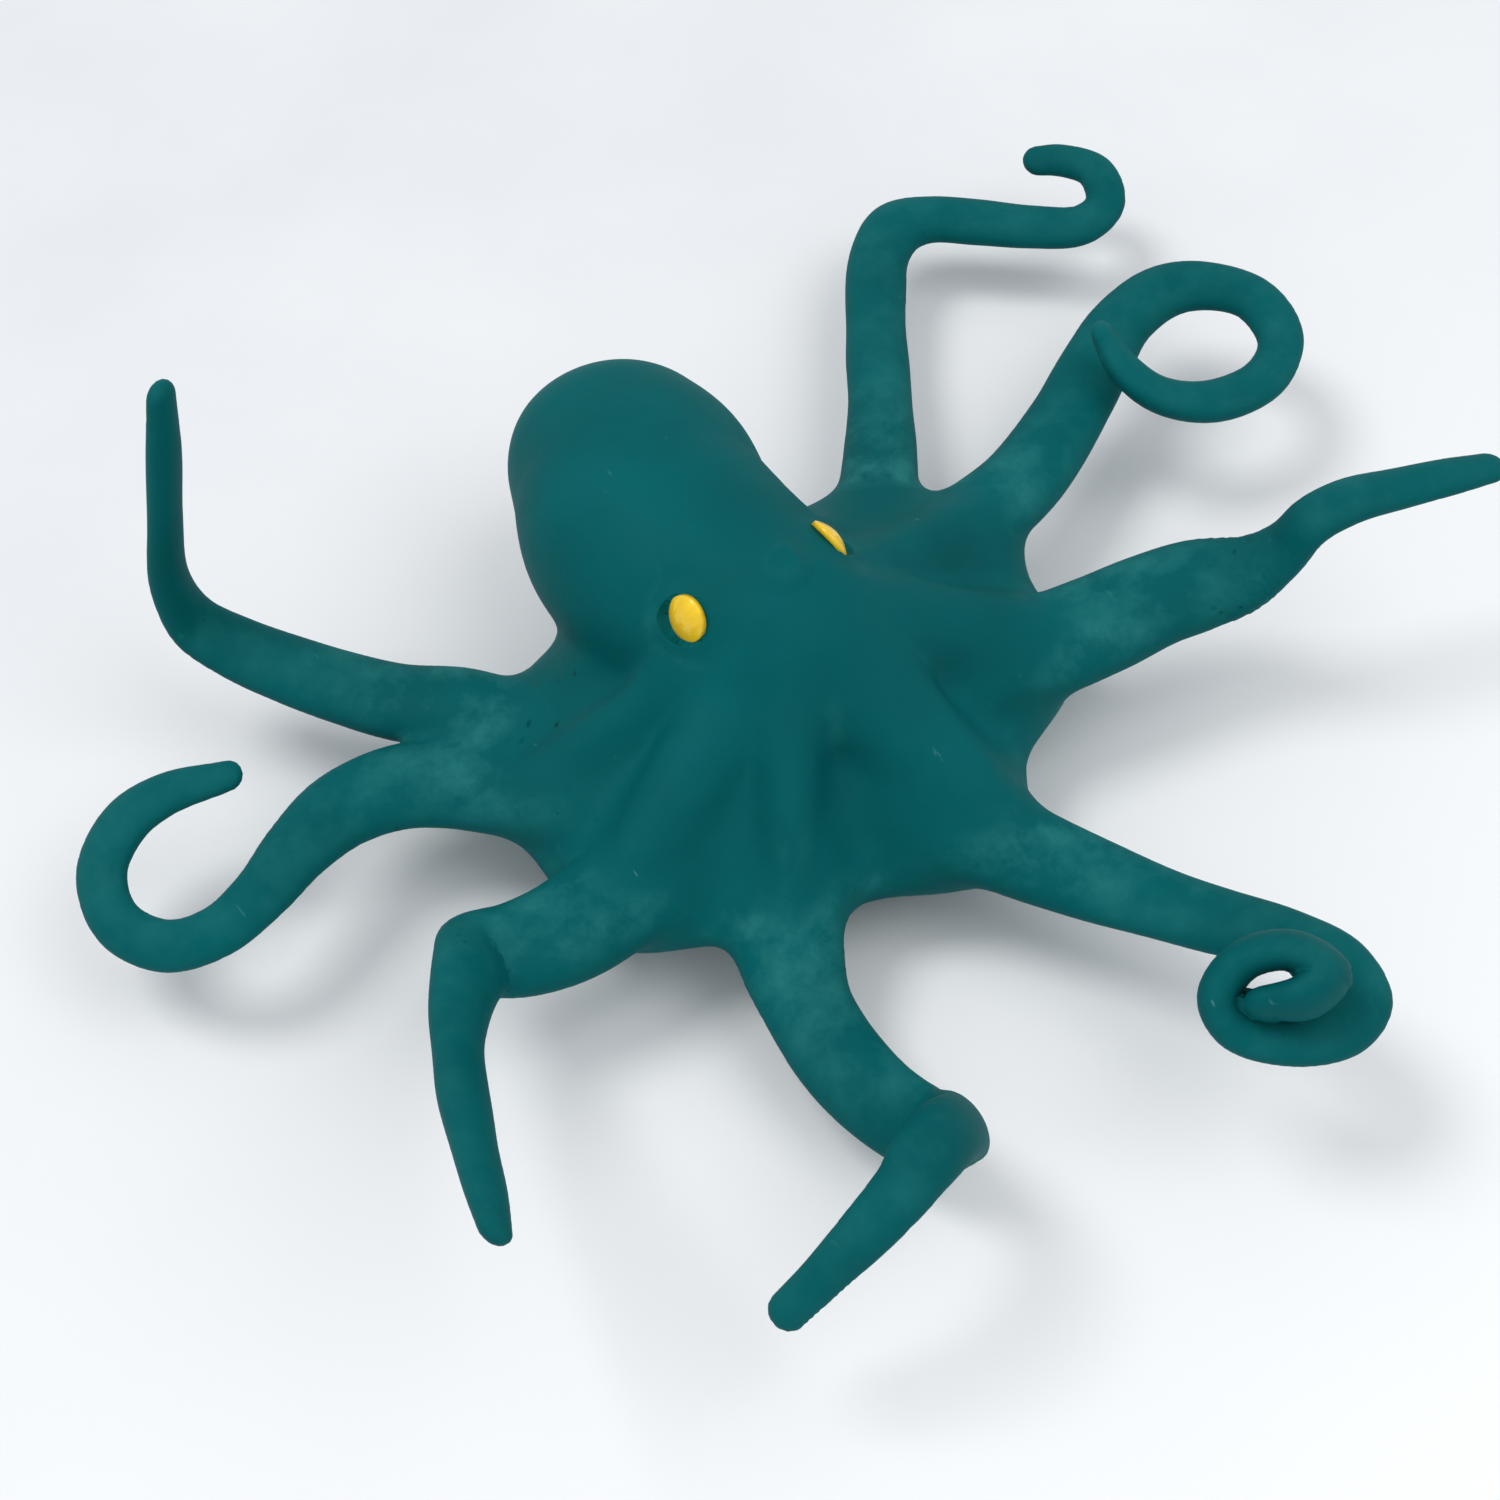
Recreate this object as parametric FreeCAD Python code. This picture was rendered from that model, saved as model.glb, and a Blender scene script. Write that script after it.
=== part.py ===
import FreeCAD, Part
import math
import os

# Bendable toy octopus: a soft moulded skin over a bent wire armature, with raised eyes.
# Millimetres, +Z up, face towards -Y, the octopus's own left towards +X.
# The origin is the middle of the flat belly, on the surface that it rests on.

V = FreeCAD.Vector

# Arms
arm_reach = 100.0
arm_root_half_width = 9.0
arm_flat_share = 0.6
section_pitch = 4.0
arm_skin_start = 6.0
samples_per_span = 6

# Body: head, mantle and web
body_reach = 60.0
head_radius = 17.0
web_reach = 45.0
web_height = 40.0

# Eyes
eye_radius = 3.6
eye_edge_height = 0.4
eye_dome_height = 1.4
eye_seat_depth = 1.0
eye_groove_width = 0.45
eye_groove_depth = 0.5
eye_spacing = 24.6
eye_forward = 4.4
eye_height = 38.0
eye_middle_offset = -1.2
eye_turn_deg = 90.0
eye_lift_deg = 20.0

# Armature
wire_radius = 0.8
wire_end_inset = 4.0
wire_pitch = 3.0
hub_radius = 8.0
hub_wire_depth = 1.5
hub_height = 5.0
hub_middle_height = 16.0

# Bends: where the soft skin gives way between two stiff lengths of arm
root_bend_half = 3.6
knee_bend_half = 5.6
bend_gap = 0.3
root_clearance = 2.0
root_step = 0.25
shortest_stiff_length = 4.0
wire_bend_gap = 0.5
bore_clearance = 0.35
bore_overrun = 1.0

# Arm routes, outwards from the head: x, y and z as shares of arm_reach,
# then the half width as a share of arm_root_half_width
ARM_ROUTE_SHARES = {
    "right_1": [
        (-0.150, -0.185, 0.200, 0.95), (-0.190, -0.257, 0.170, 0.87), (-0.232, -0.333, 0.140, 0.78),
        (-0.257, -0.400, 0.120, 0.71), (-0.266, -0.481, 0.110, 0.68), (-0.259, -0.565, 0.110, 0.64),
        (-0.242, -0.635, 0.125, 0.63), (-0.236, -0.690, 0.195, 0.62), (-0.282, -0.708, 0.290, 0.59),
        (-0.339, -0.729, 0.330, 0.57), (-0.377, -0.741, 0.330, 0.54), (-0.439, -0.751, 0.310, 0.50),
        (-0.501, -0.750, 0.260, 0.43), (-0.540, -0.748, 0.220, 0.36),
    ],
    "right_2": [
        (-0.262, -0.122, 0.180, 0.95), (-0.330, -0.132, 0.176, 0.90), (-0.397, -0.138, 0.178, 0.84),
        (-0.465, -0.141, 0.180, 0.78), (-0.525, -0.133, 0.180, 0.71), (-0.575, -0.122, 0.190, 0.65),
        (-0.620, -0.155, 0.240, 0.56), (-0.675, -0.255, 0.310, 0.45), (-0.717, -0.348, 0.370, 0.41),
        (-0.753, -0.438, 0.430, 0.38), (-0.784, -0.521, 0.480, 0.33), (-0.807, -0.586, 0.515, 0.27),
    ],
    "right_3": [
        (-0.254, 0.004, 0.185, 0.95), (-0.307, 0.018, 0.175, 0.90), (-0.350, 0.038, 0.180, 0.84),
        (-0.403, 0.098, 0.160, 0.78), (-0.461, 0.146, 0.160, 0.73), (-0.524, 0.175, 0.170, 0.69),
        (-0.604, 0.182, 0.180, 0.61), (-0.688, 0.158, 0.190, 0.54), (-0.762, 0.127, 0.190, 0.49),
        (-0.833, 0.118, 0.180, 0.46), (-0.895, 0.152, 0.160, 0.44), (-0.929, 0.221, 0.160, 0.43),
        (-0.912, 0.296, 0.170, 0.42), (-0.858, 0.335, 0.190, 0.41), (-0.796, 0.326, 0.210, 0.38),
        (-0.716, 0.290, 0.230, 0.31),
    ],
    "right_4": [
        (-0.243, 0.094, 0.200, 0.95), (-0.282, 0.142, 0.180, 0.88), (-0.329, 0.200, 0.170, 0.80),
        (-0.384, 0.247, 0.170, 0.72), (-0.449, 0.303, 0.170, 0.68), (-0.505, 0.369, 0.180, 0.64),
        (-0.550, 0.431, 0.190, 0.60), (-0.590, 0.497, 0.200, 0.56), (-0.622, 0.551, 0.230, 0.51),
        (-0.634, 0.565, 0.310, 0.43), (-0.614, 0.571, 0.420, 0.40), (-0.588, 0.572, 0.540, 0.36),
        (-0.570, 0.578, 0.620, 0.30),
    ],
    "left_1": [
        (0.020, -0.190, 0.200, 0.95), (0.058, -0.275, 0.185, 0.90), (0.093, -0.366, 0.170, 0.80),
        (0.146, -0.471, 0.160, 0.69), (0.185, -0.562, 0.180, 0.59), (0.221, -0.650, 0.210, 0.53),
        (0.258, -0.730, 0.240, 0.49), (0.270, -0.805, 0.260, 0.45), (0.255, -0.856, 0.260, 0.44),
        (0.210, -0.874, 0.260, 0.43), (0.155, -0.852, 0.260, 0.42), (0.113, -0.797, 0.270, 0.41),
        (0.111, -0.761, 0.300, 0.39), (0.145, -0.762, 0.340, 0.37), (0.180, -0.795, 0.370, 0.34),
        (0.183, -0.838, 0.360, 0.32), (0.150, -0.848, 0.345, 0.28),
    ],
    "left_2": [
        (0.082, -0.110, 0.200, 0.98), (0.188, -0.114, 0.195, 0.95), (0.253, -0.135, 0.200, 0.91),
        (0.334, -0.160, 0.190, 0.89), (0.424, -0.186, 0.200, 0.86), (0.502, -0.201, 0.210, 0.80),
        (0.573, -0.226, 0.220, 0.74), (0.626, -0.258, 0.240, 0.62), (0.664, -0.285, 0.290, 0.51),
        (0.692, -0.295, 0.340, 0.46), (0.746, -0.310, 0.360, 0.43), (0.820, -0.334, 0.360, 0.40),
        (0.884, -0.364, 0.370, 0.37), (0.935, -0.383, 0.370, 0.31),
    ],
    "left_3": [
        (0.200, 0.020, 0.200, 0.95), (0.312, 0.063, 0.180, 0.88), (0.435, 0.082, 0.170, 0.80),
        (0.546, 0.114, 0.160, 0.72), (0.680, 0.175, 0.160, 0.64), (0.767, 0.219, 0.170, 0.60),
        (0.866, 0.265, 0.180, 0.54), (0.952, 0.271, 0.190, 0.49), (1.007, 0.240, 0.200, 0.45),
        (1.052, 0.171, 0.200, 0.42), (1.024, 0.075, 0.200, 0.40), (0.944, 0.032, 0.200, 0.39),
        (0.847, 0.044, 0.200, 0.39), (0.774, 0.087, 0.220, 0.38), (0.752, 0.150, 0.245, 0.36),
        (0.751, 0.192, 0.270, 0.30),
    ],
    "left_4": [
        (0.150, 0.085, 0.200, 0.93), (0.249, 0.120, 0.180, 0.86), (0.315, 0.188, 0.170, 0.77),
        (0.405, 0.295, 0.150, 0.65), (0.475, 0.386, 0.140, 0.59), (0.545, 0.483, 0.130, 0.56),
        (0.613, 0.575, 0.130, 0.54), (0.685, 0.655, 0.130, 0.52), (0.752, 0.687, 0.130, 0.51),
        (0.805, 0.672, 0.130, 0.47), (0.870, 0.619, 0.130, 0.44), (0.932, 0.562, 0.130, 0.42),
        (0.993, 0.507, 0.140, 0.39), (1.053, 0.513, 0.150, 0.36), (1.084, 0.579, 0.160, 0.34),
        (1.055, 0.634, 0.160, 0.33), (1.025, 0.654, 0.160, 0.30),
    ],
}

# The route point of each arm where it bends beside the web, and where it bends at the knee
ROOT_POINT = {
    "right_1": 3, "right_2": 3, "right_3": 5, "right_4": 4,
    "left_1": 3, "left_2": 5, "left_3": 3, "left_4": 4,
}
KNEE_POINT = {
    "right_1": 7, "right_2": 6, "right_3": 8, "right_4": 8,
    "left_1": 5, "left_2": 8, "left_3": 4, "left_4": 8,
}

# A rounded arm tip: how far past the last point, and how wide, as shares of the last half width
TIP_DOME_SHARES = [(0.45, 0.90), (0.80, 0.64), (1.00, 0.30)]

# A rounded rod end: how far past the end, and how wide, as shares of the rod's radius
ROD_DOME_SHARES = [(0.35, 0.94), (0.70, 0.71), (0.95, 0.31)]

# An ellipse's two radii differ by at least this share, so that its direction is settled
round_share = 0.9999

# Head and mantle, front to back: x, y and z as shares of body_reach,
# then half width and half height as shares of head_radius
MANTLE_SHARES = [
    (-0.020, -0.150, 0.400, 0.60, 0.50), (-0.022, -0.060, 0.480, 0.74, 0.64),
    (-0.023, 0.050, 0.530, 0.79, 0.74), (-0.050, 0.160, 0.530, 0.95, 0.80),
    (-0.070, 0.300, 0.500, 1.09, 0.90), (-0.048, 0.460, 0.480, 1.11, 0.98),
    (0.000, 0.620, 0.470, 1.00, 0.97), (0.008, 0.770, 0.460, 0.88, 0.86),
    (0.016, 0.880, 0.452, 0.62, 0.60), (0.020, 0.935, 0.450, 0.32, 0.31),
]

# Edge of the web, round from the front: each arm and then the crotch after it,
# x and y as shares of web_reach
WEB_ARM_SHARES = [
    (-0.500, -0.740), (0.300, -0.880), (0.920, -0.400), (1.100, 0.200),
    (0.760, 0.560), (-0.780, 0.500), (-0.960, 0.210), (-0.980, -0.360),
]
WEB_CROTCH_SHARES = [
    (-0.240, -0.630), (0.545, -0.565), (1.020, -0.010), (0.960, 0.480),
    (0.040, 0.680), (-0.860, 0.360), (-0.900, -0.040), (-0.610, -0.525),
]
WEB_ARM_ORDER = ["right_1", "left_1", "left_2", "left_3", "left_4", "right_4", "right_3", "right_2"]
REAR_ARM_POINTS = (4, 5)
REAR_CROTCH_POINTS = (4,)

# Levels of the web from the belly up: height as a share of web_height,
# then how far the arm, crotch and rear points stand out from the middle
WEB_LEVEL_SHARES = [
    (0.000, 0.52, 0.62, 0.62), (0.100, 0.80, 0.90, 0.86), (0.225, 0.98, 1.00, 0.96),
    (0.340, 0.97, 0.94, 0.92), (0.475, 0.89, 0.82, 0.82), (0.625, 0.75, 0.68, 0.66),
    (0.775, 0.56, 0.51, 0.48), (0.900, 0.37, 0.34, 0.32), (1.000, 0.20, 0.19, 0.18),
]


def route_points(arm):
    points = []
    for x_share, y_share, z_share, width_share in ARM_ROUTE_SHARES[arm]:
        points.append(V(x_share, y_share, z_share) * arm_reach)
    return points


def route_tangents(points, knots):
    # Slope at each point, weighted by the spans on its two sides
    last = len(points) - 1
    tangents = []
    for i in range(len(points)):
        before = max(i - 1, 0)
        after = min(i + 1, last)
        if before == i or after == i:
            tangents.append((points[after] - points[before]) * (1 / (knots[after] - knots[before])))
            continue
        span_in = knots[i] - knots[before]
        span_out = knots[after] - knots[i]
        slope_in = (points[i] - points[before]) * (1 / span_in)
        slope_out = (points[after] - points[i]) * (1 / span_out)
        tangents.append((slope_in * span_out + slope_out * span_in) * (1 / (span_in + span_out)))
    return tangents


def smooth_route(arm):
    # Fine samples of the arm's centre line, each with its half width
    points = route_points(arm)
    widths = [row[3] * arm_root_half_width for row in ARM_ROUTE_SHARES[arm]]
    knots = [0.0]
    for i in range(1, len(points)):
        knots.append(knots[-1] + math.sqrt((points[i] - points[i - 1]).Length))
    tangents = route_tangents(points, knots)
    samples = []
    for i in range(len(points) - 1):
        span = knots[i + 1] - knots[i]
        for step in range(samples_per_span):
            u = step / samples_per_span
            place = points[i] * (2 * u ** 3 - 3 * u ** 2 + 1)
            place = place + tangents[i] * (span * (u ** 3 - 2 * u ** 2 + u))
            place = place + points[i + 1] * (3 * u ** 2 - 2 * u ** 3)
            place = place + tangents[i + 1] * (span * (u ** 3 - u ** 2))
            samples.append((place, widths[i] * (1 - u) + widths[i + 1] * u))
    samples.append((points[-1], widths[-1]))
    return samples


def arm_stations(arm):
    # Distance along the arm, place, half width, direction and the axis of the arm's flat width
    samples = smooth_route(arm)
    last = len(samples) - 1
    stations = []
    distance = 0.0
    side = None
    for i, (place, width) in enumerate(samples):
        ahead = samples[min(i + 1, last)][0] - samples[max(i - 1, 0)][0]
        ahead.normalize()
        if side is None:
            side = ahead.cross(V(0, 0, 1))
        else:
            distance = distance + (place - samples[i - 1][0]).Length
        side = side - ahead * side.dot(ahead)
        side.normalize()
        stations.append((distance, place, width, ahead, V(side)))
    return stations


def station_at(stations, distance):
    # The station at a distance along the arm, straight on past either end
    first = stations[0]
    last = stations[-1]
    if distance <= first[0]:
        return (distance, first[1] + first[3] * distance, first[2], first[3], first[4])
    if distance >= last[0]:
        beyond = distance - last[0]
        return (distance, last[1] + last[3] * beyond, last[2], last[3], last[4])
    i = 0
    while stations[i + 1][0] < distance:
        i = i + 1
    a = stations[i]
    b = stations[i + 1]
    u = (distance - a[0]) / (b[0] - a[0])
    place = a[1] * (1 - u) + b[1] * u
    width = a[2] * (1 - u) + b[2] * u
    ahead = a[3] * (1 - u) + b[3] * u
    ahead.normalize()
    side = a[4] * (1 - u) + b[4] * u
    side = side - ahead * side.dot(ahead)
    side.normalize()
    return (distance, place, width, ahead, side)


def point_distance(stations, index):
    return stations[index * samples_per_span][0]


def ellipse_wire(middle, side, up, half_width, half_height):
    ellipse = Part.Ellipse(middle + side * half_width, middle + up * half_height, middle)
    return Part.Wire([ellipse.toShape()])


def skin_wire(station, size_share):
    distance, place, width, ahead, side = station
    up = side.cross(ahead)
    half_width = width * size_share
    return ellipse_wire(place, side, up, half_width, half_width * arm_flat_share)


def spaced(start, end, pitch):
    count = max(2, math.ceil((end - start) / pitch))
    return [start + (end - start) * i / count for i in range(count + 1)]


def skin_length(stations, start, end, tip=False):
    # The soft skin of one length of arm, with a rounded end where it is the tip
    wires = [skin_wire(station_at(stations, d), 1.0) for d in spaced(start, end, section_pitch)]
    if tip:
        last_width = stations[-1][2]
        for ahead_share, size_share in TIP_DOME_SHARES:
            wires.append(skin_wire(station_at(stations, end + last_width * ahead_share), size_share))
    return Part.makeLoft(wires, True, False)


def circle_wire(station, radius):
    distance, place, width, ahead, side = station
    return ellipse_wire(place, side, side.cross(ahead), radius, radius * round_share)


def wire_length(stations, start, end, radius, round_start=False, round_end=False):
    # A round rod along the arm's centre line, with domed ends where asked
    wires = []
    if round_start:
        for out_share, size_share in reversed(ROD_DOME_SHARES):
            wires.append(circle_wire(station_at(stations, start - radius * out_share), radius * size_share))
    for d in spaced(start, end, wire_pitch):
        wires.append(circle_wire(station_at(stations, d), radius))
    if round_end:
        for out_share, size_share in ROD_DOME_SHARES:
            wires.append(circle_wire(station_at(stations, end + radius * out_share), radius * size_share))
    return Part.makeLoft(wires, True, True)


def web_arm_reach(arm, height):
    # How far out the web stands beside an arm, at a height
    corner = WEB_ARM_ORDER.index(arm)
    column = 3 if corner in REAR_ARM_POINTS else 1
    level = 0
    while level < len(WEB_LEVEL_SHARES) - 2 and WEB_LEVEL_SHARES[level + 1][0] * web_height < height:
        level = level + 1
    low = WEB_LEVEL_SHARES[level]
    high = WEB_LEVEL_SHARES[level + 1]
    rise = (height / web_height - low[0]) / (high[0] - low[0])
    share = low[column] * (1 - rise) + high[column] * rise
    return V(*WEB_ARM_SHARES[corner], 0).Length * web_reach * share


def root_distance(arm, stations):
    # Where the root bend lies, further out where its sleeve would otherwise meet the web
    distance = point_distance(stations, ROOT_POINT[arm])
    while True:
        place = station_at(stations, distance)[1]
        clear_reach = web_arm_reach(arm, place.z) + root_bend_half + root_clearance
        if math.hypot(place.x, place.y) >= clear_reach:
            return distance
        distance = distance + root_step


def arm_marks(arm):
    # Stations of an arm, with the distances of its root bend, its knee bend and its end
    stations = arm_stations(arm)
    root = root_distance(arm, stations)
    nearest_knee = root + root_bend_half + shortest_stiff_length + knee_bend_half
    knee = max(point_distance(stations, KNEE_POINT[arm]), nearest_knee)
    return stations, root, knee, stations[-1][0]


def inner_wire(arm):
    # The wire from its round end at the root bend to just short of the knee bend
    stations, root, knee, end = arm_marks(arm)
    return wire_length(stations, root, knee - wire_radius - wire_bend_gap, wire_radius, round_start=True)


def outer_wire(arm):
    # The wire from its round end at the knee bend to its blunt end inside the tip
    stations, root, knee, end = arm_marks(arm)
    return wire_length(stations, knee, end - wire_end_inset, wire_radius, round_start=True, round_end=True)


def root_wire(arm):
    # The wire from inside the hub to just short of the root bend
    stations, root, knee, end = arm_marks(arm)
    start = station_at(stations, 0)[1]
    hub_middle = V(0, 0, hub_middle_height)
    inwards = start - hub_middle
    reach_back = inwards.Length - hub_radius + hub_wire_depth
    inwards.normalize()
    side = inwards.cross(V(0, 0, 1))
    side.normalize()
    wires = []
    for d in spaced(-reach_back, 0, wire_pitch)[:-1]:
        wires.append(circle_wire((d, start + inwards * d, 0, inwards, side), wire_radius))
    for d in spaced(0, root - wire_radius - wire_bend_gap, wire_pitch)[1:]:
        wires.append(circle_wire(station_at(stations, d), wire_radius))
    return Part.makeLoft(wires, True, True)


def hub():
    base = V(0, 0, hub_middle_height - hub_height / 2)
    return Part.makeCylinder(hub_radius, hub_height, base)


def mantle():
    wires = []
    for x_share, y_share, z_share, width_share, height_share in MANTLE_SHARES:
        middle = V(x_share, y_share, z_share) * body_reach
        half_width = head_radius * width_share
        half_height = head_radius * height_share
        wires.append(ellipse_wire(middle, V(1, 0, 0), V(0, 0, 1), half_width, half_height))
    return Part.makeLoft(wires, True, False)


def web_knots():
    # Distances round the widest outline, which place the points alike on every level
    corners = []
    for i in range(len(WEB_ARM_SHARES)):
        corners.append(V(*WEB_ARM_SHARES[i], 0))
        corners.append(V(*WEB_CROTCH_SHARES[i], 0))
    knots = [0.0]
    for i in range(len(corners)):
        knots.append(knots[-1] + (corners[(i + 1) % len(corners)] - corners[i]).Length)
    return knots


def web_outline(height, arm_share, crotch_share, rear_share):
    points = []
    for i in range(len(WEB_ARM_SHARES)):
        arm_out = rear_share if i in REAR_ARM_POINTS else arm_share
        crotch_out = rear_share if i in REAR_CROTCH_POINTS else crotch_share
        points.append(V(*WEB_ARM_SHARES[i], 0) * (web_reach * arm_out) + V(0, 0, height))
        points.append(V(*WEB_CROTCH_SHARES[i], 0) * (web_reach * crotch_out) + V(0, 0, height))
    curve = Part.BSplineCurve()
    curve.interpolate(Points=points, PeriodicFlag=True, Parameters=web_knots())
    return Part.Wire([curve.toShape()])


def web():
    wires = []
    for height_share, arm_share, crotch_share, rear_share in WEB_LEVEL_SHARES:
        wires.append(web_outline(height_share * web_height, arm_share, crotch_share, rear_share))
    return Part.makeLoft(wires, True, False)


def eye_place(side_sign):
    # Middle of an eye on the head's surface and the way it looks
    middle = V(eye_middle_offset + side_sign * eye_spacing / 2, eye_forward, eye_height)
    turn = math.radians(eye_turn_deg)
    lift = math.radians(eye_lift_deg)
    look = V(side_sign * math.sin(turn), -math.cos(turn), math.tan(lift))
    look.normalize()
    return middle, look


def eye_dome(side_sign):
    # A raised lens with a short straight edge, standing in its seat
    middle, look = eye_place(side_sign)
    dome_radius = (eye_radius ** 2 + eye_dome_height ** 2) / (2 * eye_dome_height)
    edge = Part.makeCylinder(eye_radius, eye_seat_depth + eye_edge_height, middle - look * eye_seat_depth, look)
    ball_middle = middle + look * (eye_edge_height + eye_dome_height - dome_radius)
    ball = Part.makeSphere(dome_radius, ball_middle)
    column = Part.makeCylinder(eye_radius, eye_seat_depth + dome_radius, middle - look * eye_seat_depth, look)
    return edge.fuse(ball.common(column).cut(Part.makeCylinder(
        dome_radius, 2 * dome_radius, middle + look * (eye_edge_height - 2 * dome_radius), look)))


def eye_seat(side_sign):
    # The pocket that holds an eye, and the fine groove round it
    middle, look = eye_place(side_sign)
    outwards = eye_edge_height + eye_dome_height
    pocket = Part.makeCylinder(eye_radius, eye_seat_depth + outwards, middle - look * eye_seat_depth, look)
    groove = Part.makeCylinder(
        eye_radius + eye_groove_width, eye_groove_depth + outwards, middle - look * eye_groove_depth, look)
    return pocket.fuse(groove)


def torso():
    # Mantle, head, web and the first length of each arm in one skin, hollow only for its armature
    pieces = [mantle()]
    for arm in ARM_ROUTE_SHARES:
        stations, root, knee, end = arm_marks(arm)
        pieces.append(skin_length(stations, arm_skin_start, root - root_bend_half - bend_gap))
    skin = web().fuse(pieces).cut(hub()).cut(eye_seat(-1)).cut(eye_seat(1))
    for arm in ARM_ROUTE_SHARES:
        skin = skin.cut(root_wire(arm))
    return skin


def bend_sleeve(stations, start, finish):
    # Soft skin round a bend, loose on the wire inside it
    skin = skin_length(stations, start, finish)
    bore = wire_length(stations, start - bore_overrun, finish + bore_overrun, wire_radius + bore_clearance)
    return skin.cut(bore)


def root_sleeve(arm):
    stations, root, knee, end = arm_marks(arm)
    return bend_sleeve(stations, root - root_bend_half, root + root_bend_half)


def knee_sleeve(arm):
    stations, root, knee, end = arm_marks(arm)
    return bend_sleeve(stations, knee - knee_bend_half, knee + knee_bend_half - bend_gap)


def inner_sleeve(arm):
    stations, root, knee, end = arm_marks(arm)
    start = root + root_bend_half
    return skin_length(stations, start, knee - knee_bend_half).cut(inner_wire(arm))


def outer_sleeve(arm):
    stations, root, knee, end = arm_marks(arm)
    skin = skin_length(stations, knee + knee_bend_half, end, tip=True)
    return skin.cut(outer_wire(arm))


def save(shape, node):
    shape.exportStep(os.path.join("parts", node + ".step"))


def build():
    os.makedirs("parts", exist_ok=True)
    wires = [root_wire(arm) for arm in ARM_ROUTE_SHARES]
    armature_hub = hub()
    for wire in wires:
        armature_hub = armature_hub.cut(wire)
    save(armature_hub, "armature_hub")
    save(Part.makeCompound(wires), "root_wires")
    save(torso(), "body_skin")
    save(eye_dome(-1), "eye_right")
    save(eye_dome(1), "eye_left")
    for arm in ARM_ROUTE_SHARES:
        save(root_sleeve(arm), "arm_" + arm + "_root_sleeve")
        save(inner_sleeve(arm), "arm_" + arm + "_inner_sleeve")
        save(knee_sleeve(arm), "arm_" + arm + "_knee_sleeve")
        save(outer_sleeve(arm), "arm_" + arm + "_outer_sleeve")
        save(inner_wire(arm), "arm_" + arm + "_inner_wire")
        save(outer_wire(arm), "arm_" + arm + "_outer_wire")


build()
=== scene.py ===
import math

import bpy
import bmesh
import numpy as np
from mathutils import Matrix, Vector


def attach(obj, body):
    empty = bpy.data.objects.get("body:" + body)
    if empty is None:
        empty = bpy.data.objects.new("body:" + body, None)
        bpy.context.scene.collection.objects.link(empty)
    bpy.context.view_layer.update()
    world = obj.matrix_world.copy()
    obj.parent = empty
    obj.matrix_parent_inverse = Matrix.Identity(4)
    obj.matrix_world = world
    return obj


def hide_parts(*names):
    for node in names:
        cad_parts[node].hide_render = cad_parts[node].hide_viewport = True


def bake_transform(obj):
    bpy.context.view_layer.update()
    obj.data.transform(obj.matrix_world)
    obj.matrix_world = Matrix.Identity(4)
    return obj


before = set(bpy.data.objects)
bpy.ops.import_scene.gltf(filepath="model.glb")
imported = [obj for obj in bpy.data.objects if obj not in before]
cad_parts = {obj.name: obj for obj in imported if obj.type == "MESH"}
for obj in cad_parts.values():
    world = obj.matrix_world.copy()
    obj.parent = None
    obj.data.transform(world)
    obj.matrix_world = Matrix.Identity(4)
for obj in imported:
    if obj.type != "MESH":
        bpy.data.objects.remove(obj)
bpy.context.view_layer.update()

# Bendable toy octopus, dressed: one soft skin drawn as a field of distances, cut where its bodies meet.
# Lengths are in millimetres here and turned into metres when a mesh is made.
MM = 0.001

# Surface: pitch of its grid, margin round the shapes, and how it is settled
grid_pitch = 0.75
field_margin = 4.0
field_outside = 50.0
settle_steps = 3
slope_step = 0.02
least_slope_squared = 0.04
chunk_size = 60000
tiny = 1e-9

# Arms
arm_reach = 100.0
arm_root_half_width = 9.0
arm_flat_share = 0.6
samples_per_span = 6
edge_slope_share = 0.8

# Body: head, mantle and web
body_reach = 60.0
head_radius = 17.0
web_reach = 45.0
web_height = 40.0
web_slope_share = 0.72
mantle_slope_share = 0.9
samples_per_mantle_span = 9
mantle_flat_share = 0.90
belly_round = 0.8
WEB_BOX_LOW_SHARES = (-1.3, -1.3, 0)
WEB_BOX_HIGH_SHARES = (1.4, 1.2, 0)

# Slow waviness of the skin: how far apart and how high its waves are
wave_length = 11.0
wave_height = 0.10
second_wave_share = 0.6

# How softly the arms run into the web, near the middle and far out
near_blend = 5.0
far_blend = 0.8
near_blend_radius = 30.0
far_blend_radius = 62.0
mantle_blend = 5.5
head_blend = 6.0

# Head: a low dome between the eyes
head_middle = (-1.2, 1.5, 32.0)
head_half_sizes = (11.2, 12.0, 11.0)

# Eyes
eye_radius = 3.25
eye_edge_height = -0.3
eye_dome_height = 1.2
eye_seat_depth = 1.0
eye_edge_inset = 0.02
eye_groove_width = 0.35
eye_groove_depth = 0.6
eye_seat_reach = 6.0
eye_seat_round = 0.15
eye_dish_depth = 0.35
eye_dish_radius = 5.2
eye_dish_width = 2.0
eye_dish_reach = 4.0
eye_spacing = 20.0
eye_forward = 3.4
eye_height = 39.6
eye_middle_offset = -1.2
eye_lift_deg = 12.0
eye_turn_share = 0.25
eye_segments = 96
EYE_DOME_SHARES = (0.985, 0.94, 0.86, 0.74, 0.58, 0.40, 0.20)
EYE_SEARCH_STEPS = np.linspace(-2, 10, 241)
EYE_FINE_REACHES = (8.5, 6.0)

# Bends: half the length over which the skin turns, and the margin past it that rides rigidly
root_bend_half = 4.6
knee_bend_half = 6.0
bend_margin = 1.0
# How much nearer the body has to be than an arm to keep a face, and how close an arm's own faces lie to it
torso_reach = 1.0
arm_skin_reach = 3.0
ARM_PARTS = ("root", "inner", "knee", "outer")

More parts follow.
